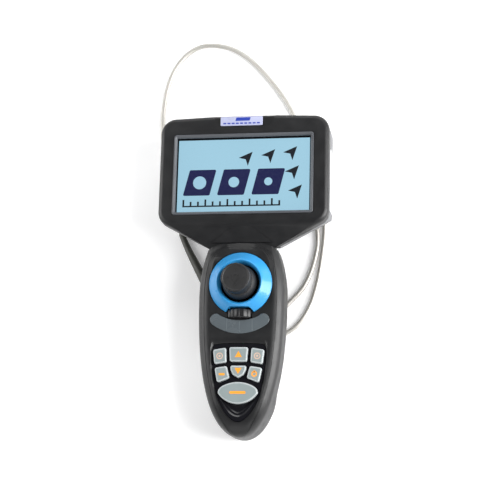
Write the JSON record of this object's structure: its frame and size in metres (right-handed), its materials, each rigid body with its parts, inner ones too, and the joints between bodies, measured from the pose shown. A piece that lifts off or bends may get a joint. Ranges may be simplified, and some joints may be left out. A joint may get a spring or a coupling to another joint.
{
  "type": "inspection camera",
  "caption": "Handheld joystick-steered borescope with a screen head, keypad handle and a braided insertion tube that ends in a bending camera tip.",
  "frame": {"origin": "on the table, under the middle of the body's bounding box without the insertion tube", "axes": "+Z out of the screen, +Y from the handle to the head, +X to the right of the screen"},
  "size_m": [0.1546, 0.3507, 0.0715],
  "materials": {
    "shell_black": "fine satin texture",
    "cover_grey": "fine satin texture",
    "gloss_black": "glossy",
    "knob_black": "soft-touch satin",
    "ring_blue": "glossy",
    "key_grey": "semi-gloss",
    "lip_grey": "semi-gloss",
    "badge_white": "printed plate",
    "silver": "painted silver",
    "steel": "plain",
    "brass": "machined",
    "smoke_lens": "smoked",
    "clear_guide": "clear",
    "glass": "polished",
    "board_green": "solder mask",
    "battery_blue": "film wrapped",
    "rubber": "matte",
    "boot_olive": "matte",
    "braid": "fine woven braid"
  },
  "bodies": {
    "housing": {"front_shell": "shell_black", "handle_rear_shell": "shell_black", "head_rear_cover": "cover_grey", "keypad_plate": "gloss_black", "lcd_panel": "gloss_black", "joystick_housing": "gloss_black", "wheel_bracket": "gloss_black", "battery_contacts": "gloss_black", "port_block": "gloss_black", "tube_gland": "knob_black", "joystick_ring": "ring_blue", "screen_frame": "lip_grey", "badge_plate": "badge_white", "brake_wheel_axle": "steel", "port_door_pin": "steel", "head_screw_1": "steel", "head_screw_2": "steel", "head_screw_3": "steel", "head_screw_4": "steel", "grip_screw_1": "steel", "grip_screw_2": "steel", "grip_screw_3": "steel", "grip_screw_4": "steel", "indicator_lens": "smoke_lens", "light_guide": "clear_guide", "screen_window": "glass", "display_board": "board_green", "keypad_board": "board_green", "main_board": "board_green", "battery_pack": "battery_blue", "shell_seal": "rubber", "dome_sheet": "rubber", "strain_relief": "boot_olive", "insertion_tube": "braid"},
    "gimbal": {"gimbal_ring": "brass"},
    "joystick": {"joystick_shaft": "steel", "wobble_plate": "steel", "joystick_skirt": "knob_black", "joystick_cap": "knob_black"},
    "wheel": {"brake_wheel": "knob_black"},
    "port_cover": {"port_door": "silver"},
    "battery_cover": {"battery_door": "cover_grey"},
    "bend_1": {"bend_segment_1": "braid"},
    "bend_2": {"bend_segment_2": "braid"},
    "bend_3": {"bend_segment_3": "braid"},
    "tip": {"camera_tip": "steel", "tip_lens": "glass"},
    "key_record_cap": {"key_record": "key_grey"},
    "key_up_cap": {"key_up": "key_grey"},
    "key_light_cap": {"key_light": "key_grey"},
    "key_zoom_cap": {"key_zoom": "key_grey"},
    "key_down_cap": {"key_down": "key_grey"},
    "key_power_cap": {"key_power": "key_grey"},
    "key_menu_cap": {"key_menu": "key_grey"}
  },
  "joints": [
    {"name": "joystick_up_down", "type": "hinge", "parent": "housing", "child": "gimbal", "pos_m": [0, -0.0088, 0.05], "axis": [1, 0, 0], "range_deg": [-18, 18], "stiffness_Nm_per_rad": 0.05},
    {"name": "joystick_left_right", "type": "hinge", "parent": "gimbal", "child": "joystick", "pos_m": [0, -0.0088, 0.05], "axis": [0, 1, 0], "range_deg": [-18, 18], "stiffness_Nm_per_rad": 0.05},
    {"name": "brake_wheel_turn", "type": "hinge", "parent": "housing", "child": "wheel", "pos_m": [0, -0.03355, 0.038], "axis": [0, 1, 0], "range_deg": [-135, 135]},
    {"name": "port_door_hinge", "type": "hinge", "parent": "housing", "child": "port_cover", "pos_m": [0.0709, 0.0805, 0.0176], "axis": [0, 1, 0], "range_deg": [0, 100]},
    {"name": "battery_door_slide", "type": "slide", "parent": "housing", "child": "battery_cover", "axis": [0, 1, 0], "range_m": [0, 0.012]},
    {"name": "key_record_press", "type": "slide", "parent": "housing", "child": "key_record_cap", "axis": [0, 0, -1], "range_m": [0, 0.001], "stiffness_N_per_m": 600},
    {"name": "key_up_press", "type": "slide", "parent": "housing", "child": "key_up_cap", "axis": [0, 0, -1], "range_m": [0, 0.001], "stiffness_N_per_m": 600},
    {"name": "key_light_press", "type": "slide", "parent": "housing", "child": "key_light_cap", "axis": [0, 0, -1], "range_m": [0, 0.001], "stiffness_N_per_m": 600},
    {"name": "key_zoom_press", "type": "slide", "parent": "housing", "child": "key_zoom_cap", "axis": [0, 0, -1], "range_m": [0, 0.001], "stiffness_N_per_m": 600},
    {"name": "key_down_press", "type": "slide", "parent": "housing", "child": "key_down_cap", "axis": [0, 0, -1], "range_m": [0, 0.001], "stiffness_N_per_m": 600},
    {"name": "key_power_press", "type": "slide", "parent": "housing", "child": "key_power_cap", "axis": [0, 0, -1], "range_m": [0, 0.001], "stiffness_N_per_m": 600},
    {"name": "key_menu_press", "type": "slide", "parent": "housing", "child": "key_menu_cap", "axis": [0, 0, -1], "range_m": [0, 0.001], "stiffness_N_per_m": 600},
    {"name": "tip_bend_1", "type": "hinge", "parent": "housing", "child": "bend_1", "pos_m": [0.0095, -0.0626, 0.00205], "axis": [0, 0, 1], "range_deg": [-22.5, 22.5]},
    {"name": "tip_bend_2", "type": "hinge", "parent": "bend_1", "child": "bend_2", "pos_m": [0.0095, -0.0686, 0.00205], "axis": [0, 0, 1], "range_deg": [-22.5, 22.5]},
    {"name": "tip_bend_3", "type": "hinge", "parent": "bend_2", "child": "bend_3", "pos_m": [0.0095, -0.0746, 0.00205], "axis": [0, 0, 1], "range_deg": [-22.5, 22.5]},
    {"name": "tip_bend_4", "type": "hinge", "parent": "bend_3", "child": "tip", "pos_m": [0.0095, -0.0806, 0.00205], "axis": [0, 0, 1], "range_deg": [-22.5, 22.5]}
  ],
  "couplings": [
    {"joint": "tip_bend_1", "follows": "joystick_left_right", "ratio": 1.25},
    {"joint": "tip_bend_2", "follows": "joystick_left_right", "ratio": 1.25},
    {"joint": "tip_bend_3", "follows": "joystick_left_right", "ratio": 1.25},
    {"joint": "tip_bend_4", "follows": "joystick_left_right", "ratio": 1.25}
  ]
}
